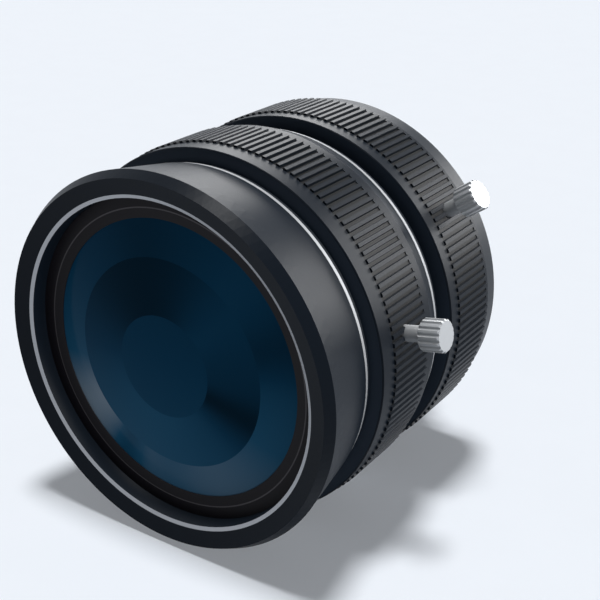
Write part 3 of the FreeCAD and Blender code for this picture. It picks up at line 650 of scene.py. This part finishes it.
@dataclass
class MountBarrel:
    """The barrel that screws into the camera: thread, flange, plate with screw pockets, rear tube."""

    thread_radius: float = 12.7
    thread_length: float = 3.9
    turns_per_inch: float = 32.0
    thread_depth_share: float = 0.6134
    root_share: float = 0.25
    crest_share: float = 0.125
    thread_steps: int = 76
    undercut_length: float = 0.45
    seat_radius: float = 9.35
    seat_height: float = -2.6
    bore: float = 10.55
    flange_radius: float = 15.5
    flange_length: float = 2.6
    plate_radius: float = 24.7
    plate_foot: float = 23.1
    plate_front: float = 4.7
    plate_rim: float = 0.2
    spigot_radius: float = 20.35
    spigot_front: float = 7.0
    tube_radius: float = 12.15
    pocket_circle: float = 21.975
    pocket_radius: float = 1.25
    pocket_depth: float = 1.0
    pocket_count: int = 4
    pocket_angle: float = 45.0
    pocket_spokes: int = 32
    pocket_overcut: float = 1.0
    spokes: int = 288

    def thread_rows(self) -> tuple[np.ndarray, np.ndarray]:
        """Rows of the camera thread and how far each point stands out from its root.

        A turn of the thread is a V of 60 degrees with a flat of a quarter pitch at its root and of an
        eighth at its crest: the rise is that V at the share of a turn h / pitch - a / 360. It is cut
        down to slopes of 45 degrees at the thread's end and at the undercut beside the flange, which
        is the lower of the distances from the two.

        Returns:
            Radius and height of each row, and the rise for each row and spoke.
        """
        pitch = 25.4 / self.turns_per_inch
        depth = self.thread_depth_share * pitch
        root = self.thread_radius - depth
        heights = np.linspace(-self.thread_length, 0.0, self.thread_steps)
        turn = np.arange(self.spokes) / self.spokes
        share = np.abs(2 * np.mod(heights[:, None] / pitch - turn, 1.0) - 1)
        flank = 1 - self.root_share - self.crest_share
        rise = depth * np.clip((share - self.root_share) / flank, 0, 1)
        slope = np.minimum(heights + self.thread_length, -self.undercut_length - heights)
        rise = np.minimum(rise, np.clip(slope, 0, depth)[:, None])
        return np.stack((np.full(len(heights), root), heights), axis=-1), rise

    def build(self) -> None:
        """Build the barrel and cut the pockets of its four screws."""
        thread, rise = self.thread_rows()
        tube_front = self.tube_front()
        # From the flange's outer corner over the plate and the tube to the bore's rear end
        rest = np.array([
            (self.flange_radius, 0.0),
            (self.flange_radius, self.flange_length),
            (self.plate_foot, self.flange_length),
            (self.plate_radius, self.plate_front - self.plate_rim),
            (self.plate_radius, self.plate_front),
            (self.spigot_radius, self.plate_front),
            (self.spigot_radius, self.spigot_front),
            (self.tube_radius, self.spigot_front),
            (self.tube_radius, tube_front),
            (self.bore, tube_front),
            (self.bore, self.seat_height),
            (self.seat_radius, self.seat_height),
            (self.seat_radius, -self.thread_length),
        ])
        swell = np.vstack((rise, np.zeros((len(rest), self.spokes))))
        mesh = turned_mesh("mount_barrel_body", np.vstack((thread, rest)), self.spokes, swell)
        mesh = self.with_pockets(mesh)
        put("mount_barrel_body", mesh, BLACK_ANODISED, "mount_barrel", "barrel")

    def tube_front(self) -> float:
        """Height of the rear tube's front end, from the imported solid."""
        return -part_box("mount_barrel")[0][1] / MM

    def with_pockets(self, mesh: bpy.types.Mesh) -> bpy.types.Mesh:
        """Cut a round pocket into the plate for each mounting screw.

        Args:
            mesh: the barrel without pockets.

        Returns:
            The barrel with pockets.
        """
        scene = bpy.context.scene.collection
        body = bpy.data.objects.new("barrel_blank", mesh)
        scene.objects.link(body)
        tools = []
        for number in range(self.pocket_count):
            tool = bpy.data.objects.new("pocket_tool", self.pocket_tool(number))
            scene.objects.link(tool)
            tools.append(tool)
            cut = body.modifiers.new("pocket", "BOOLEAN")
            cut.operation = "DIFFERENCE"
            cut.solver = "EXACT"
            cut.object = tool
        bpy.context.view_layer.update()
        made = bpy.data.meshes.new_from_object(body.evaluated_get(bpy.context.evaluated_depsgraph_get()))
        for spare in tools + [body]:
            bpy.data.objects.remove(spare)
        made.name = "mount_barrel_body"
        made.materials.clear()
        made.set_sharp_from_angle(angle=math.radians(CORNER_DEG))
        return made

    def pocket_tool(self, number: int) -> bpy.types.Mesh:
        """Closed round plug on the screws' circle: two rows of points and a face at each end.

        Args:
            number: which of the pockets it cuts.

        Returns:
            The plug's mesh.
        """
        count = self.pocket_spokes
        centre = math.radians(self.pocket_angle + 360.0 * number / self.pocket_count)
        turn = 2 * np.pi * np.arange(count) / count
        across = self.pocket_circle * math.cos(centre) + self.pocket_radius * np.cos(turn)
        up = self.pocket_circle * math.sin(centre) + self.pocket_radius * np.sin(turn)
        ends = (self.flange_length - self.pocket_overcut, self.flange_length + self.pocket_depth)
        points = np.vstack([np.stack((across, np.full(count, -end), up), axis=-1) for end in ends])
        here = np.arange(count)
        after = (here + 1) % count
        walls = np.stack((here, after, after + count, here + count), axis=-1).tolist()
        plug = bpy.data.meshes.new("pocket_tool")
        plug.from_pydata((points * MM).tolist(), [], walls + [here[::-1].tolist(), (here + count).tolist()])
        return plug


@dataclass
class PackedPieces:
    """The solids that keep their own shape, each with the finish of its slot or one of its own."""

    own_finish: dict[str, Finish] = field(
        default_factory=lambda: {
            "front_barrel": FRONT_BARREL_BLACK,
            "focus_ring": FOCUS_RING_BLACK,
            "aperture_ring": APERTURE_RING_BLACK,
            "front_retaining_ring": RETAINING_RING_BLACK,
        }
    )

    def dress(self) -> None:
        """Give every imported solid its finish."""
        slots = {part["node"]: part["material_slot"] for part in frame["record"]["subparts"]}
        for node, piece in frame["nodes"].items():
            finish = self.own_finish.get(node, SLOT_FINISH[slots[node]])
            if not piece.data.materials:
                piece.data.materials.append(finish.material())
            for slot in piece.material_slots:
                slot.material = finish.material()
            LOG.info("%s: %s", node, finish.name)


@dataclass(frozen=True)
class Lamp:
    """A far soft lamp: where it stands, its light on a facing sheet and how wide it looks."""

    name: str
    towards: tuple[float, float, float]
    strength: float
    width_deg: float
    shadow: bool = True
    off_floor: bool = False

    def build(self, floor: bpy.types.Object) -> None:
        """Place the lamp, and keep it off the floor where a studio would put up a flag.

        Args:
            floor: the floor's object.
        """
        data = bpy.data.lights.new(self.name, "SUN")
        data.energy = self.strength
        data.angle = math.radians(self.width_deg)
        data.use_shadow = self.shadow
        lamp = bpy.data.objects.new(self.name, data)
        way = Vector(self.towards).normalized()
        lamp.matrix_world = Matrix.Translation(way) @ way.to_track_quat("Z", "Y").to_matrix().to_4x4()
        bpy.context.scene.collection.objects.link(lamp)
        if self.off_floor:
            kept_off = bpy.data.collections.new(f"{self.name}_flag")
            kept_off.objects.link(floor)
            kept_off.collection_objects[0].light_linking.link_state = "EXCLUDE"
            lamp.light_linking.receiver_collection = kept_off


@dataclass(frozen=True)
class Studio:
    """Floor, lamps, world and camera."""

    azimuth_deg: float = 33.74
    elevation_deg: float = 24.06
    focal_px: float = 1147.65
    image_px: float = 600.0
    sensor_mm: float = 36.0
    clip_m: tuple[float, float] = (0.005, 20.0)
    target_mm: tuple[float, float, float] = (0.0, -48.9, 0.0)
    target_seen_mm: tuple[float, float, float] = (-17.39, 8.57, 146.41)
    floor_mm: float = -26.3
    floor_half_m: float = 3.0
    lamps: tuple[Lamp, ...] = (
        # A soft box straight overhead, which draws the soft grey shadow round the lens
        Lamp("overhead_soft_box", (0.0, 0.0, 1.0), 2.2, 12.0),
        # An even fill from the same side, which keeps the shadow grey
        Lamp("ceiling_fill", (0.0, 0.0, 1.0), 0.78, 20.0, shadow=False),
        # Three panels behind the lens, flagged off the floor: they light its sides and leave its front dark
        Lamp("right_panel", (0.54, 0.76, 0.31), 4.0, 42.0, shadow=False, off_floor=True),
        Lamp("left_panel", (-0.43, 0.76, 0.49), 1.9, 32.0, shadow=False, off_floor=True),
        Lamp("back_panel", (0.14, 0.98, 0.03), 0.85, 26.0, shadow=False, off_floor=True),
    )

    def build(self) -> None:
        """Build everything that stands round the lens."""
        self.camera()
        floor = self.floor()
        for lamp in self.lamps:
            lamp.build(floor)
        self.world()

    def camera(self) -> None:
        """Place the camera from its angle and the place of one known circle's centre in its view."""
        az, el = math.radians(self.azimuth_deg), math.radians(self.elevation_deg)
        right = Vector((math.cos(az), math.sin(az), 0))
        back = Vector((math.sin(az) * math.cos(el), -math.cos(az) * math.cos(el), math.sin(el)))
        up = back.cross(right)
        across, down, ahead = self.target_seen_mm
        eye = Vector(self.target_mm) - (right * across - up * down - back * ahead)
        data = bpy.data.cameras.new("camera")
        data.sensor_width = self.sensor_mm
        data.lens = self.focal_px * self.sensor_mm / self.image_px
        data.clip_start, data.clip_end = self.clip_m
        camera = bpy.data.objects.new("camera", data)
        turn = Matrix((right, up, back)).transposed().to_4x4()
        camera.matrix_world = Matrix.Translation(eye * MM) @ turn
        bpy.context.scene.collection.objects.link(camera)
        bpy.context.scene.camera = camera

    def floor(self) -> bpy.types.Object:
        """Pale paper under the lens, large enough to fill every view.

        Returns:
            The floor's object.
        """
        half, z = self.floor_half_m, self.floor_mm * MM
        corners = [(-half, -half, z), (half, -half, z), (half, half, z), (-half, half, z)]
        mesh = bpy.data.meshes.new("floor")
        mesh.from_pydata(corners, [], [(0, 1, 2, 3)])
        # Matt paper, faintly blue: pale and even, with no shine
        paper = Finish(
            "paper_backdrop_pale", "eef3fa", 0.9, specular=0.05, grain_mm=2.0, relief=0.02, wear=0.01
        )
        mesh.materials.append(paper.material())
        floor = bpy.data.objects.new("floor", mesh)
        bpy.context.scene.collection.objects.link(floor)
        return floor

    def world(self) -> None:
        """Pale walls for what the camera, metal and glass see, and a dim even fill for the rest."""
        world = bpy.data.worlds.new("studio")
        world.use_nodes = True
        tree = world.node_tree
        tree.nodes.clear()
        path = add(tree, "ShaderNodeLightPath").outputs
        seen = path["Is Camera Ray"]
        for ray in ("Is Glossy Ray", "Is Transmission Ray"):
            seen = add(tree, "ShaderNodeMath", {0: path[ray], 1: seen}, operation="MAXIMUM").outputs[0]
        fill = add(tree, "ShaderNodeBackground", {"Color": linear("f4f7fb"), "Strength": 0.06})
        wall = add(tree, "ShaderNodeBackground", {"Color": linear("f0f4fa"), "Strength": 1.0})
        mixed = add(tree, "ShaderNodeMixShader", {0: seen, 1: fill.outputs[0], 2: wall.outputs[0]})
        add(tree, "ShaderNodeOutputWorld", {"Surface": mixed.outputs[0]})
        bpy.context.scene.world = world


def front_glass() -> DomedGlass:
    """The large front element: a pale disc and two rings of painted reflection, broken by painted glints."""
    return DomedGlass(
        name="front_element_dome",
        node="front_element",
        body="front_group",
        slot="coated_front_glass",
        rim=20.5,
        front_rim=46.66,
        front_bulge=2.54,
        back_rim=43.0,
        back_bulge=-1.2,
        back_clear=18.5,
        rings=(
            Ring(7.05, 0.36, 0.05, 265),
            Ring(14.46, 0.31, 0.26, 255, (PaintedGlint(45, 28, 0.28), PaintedGlint(135, 40, -0.1), PaintedGlint(340, 15, -0.32))),
            Ring(
                20.5,
                0.5,
                0.26,
                265,
                (
                    PaintedGlint(105, 20, -0.1),
                    PaintedGlint(20, 13, -0.22),
                    PaintedGlint(55, 20, 0.1),
                    PaintedGlint(213, 16, 0.27),
                    PaintedGlint(240, 9, -0.24),
                    PaintedGlint(266, 22, -0.12),
                ),
            ),
        ),
    )


def rear_glass() -> DomedGlass:
    """The element next to the camera, whose hollow rear face shows two rings of painted reflection."""
    return DomedGlass(
        name="rear_element_dome",
        node="rear_element",
        body="barrel",
        slot="coated_glass",
        rim=10.5,
        front_rim=0.45,
        front_bulge=0.7,
        back_rim=-2.55,
        back_bulge=-1.0,
        back_clear=9.3,
        rings=(
            Ring(4.6, 0.14, 0.03, 240),
            Ring(10.5, 0.06, 0.07, 250, (PaintedGlint(60, 25, 0.08), PaintedGlint(200, 18, 0.07))),
        ),
        rings_in_front=False,
        spokes=240,
    )


def main() -> None:
    """Build the studio, the lens's own pieces and their finishes."""
    logging.basicConfig(level=logging.INFO, format="%(message)s")
    bpy.context.scene.view_settings.view_transform = "Standard"
    Studio().build()
    PackedPieces().dress()
    FrontShell().build()
    front_glass().build()
    rear_glass().build()
    MountBarrel().build()


if __name__ == "__main__":
    main()
